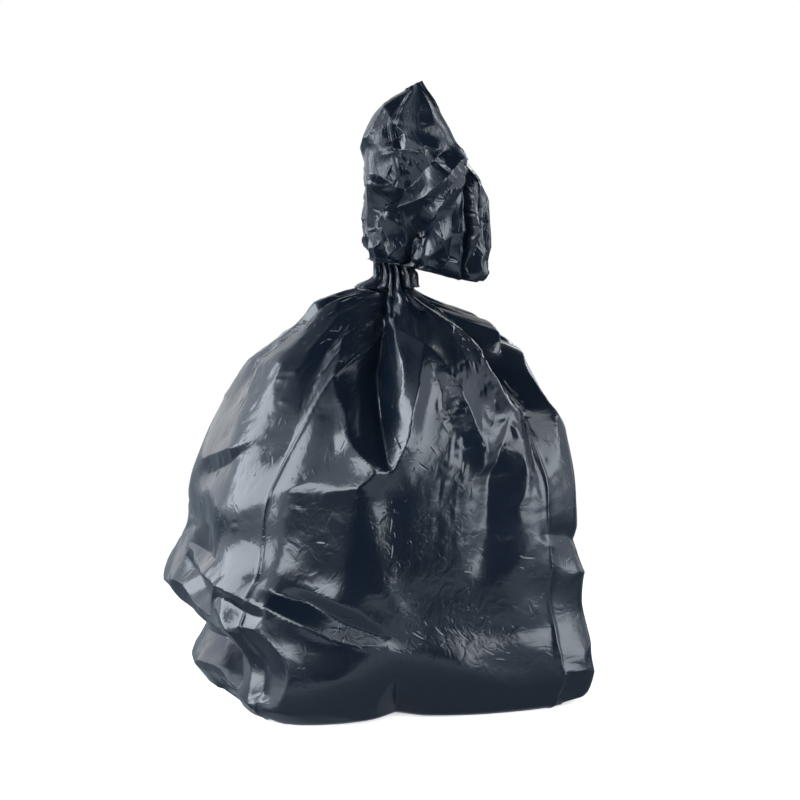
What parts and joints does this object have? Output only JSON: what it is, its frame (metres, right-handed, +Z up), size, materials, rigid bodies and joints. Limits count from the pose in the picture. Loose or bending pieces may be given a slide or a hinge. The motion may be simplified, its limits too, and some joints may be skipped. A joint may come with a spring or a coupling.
{
  "type": "filled bin bag",
  "caption": "Full dark plastic bin bag standing on the floor, its film gathered into a neck with a loose crumpled tuft above.",
  "frame": {"origin": "middle of the bag's bounding box, on the floor", "axes": "+Z up through the neck and tuft, -Y towards the side that the picture shows, +X to the right of that view"},
  "size_m": [0.4788, 0.4234, 0.6694],
  "materials": {
    "film": "glossy blown film, creased and crinkled"
  },
  "bodies": {
    "root": {"bag": "film"}
  },
  "joints": []
}
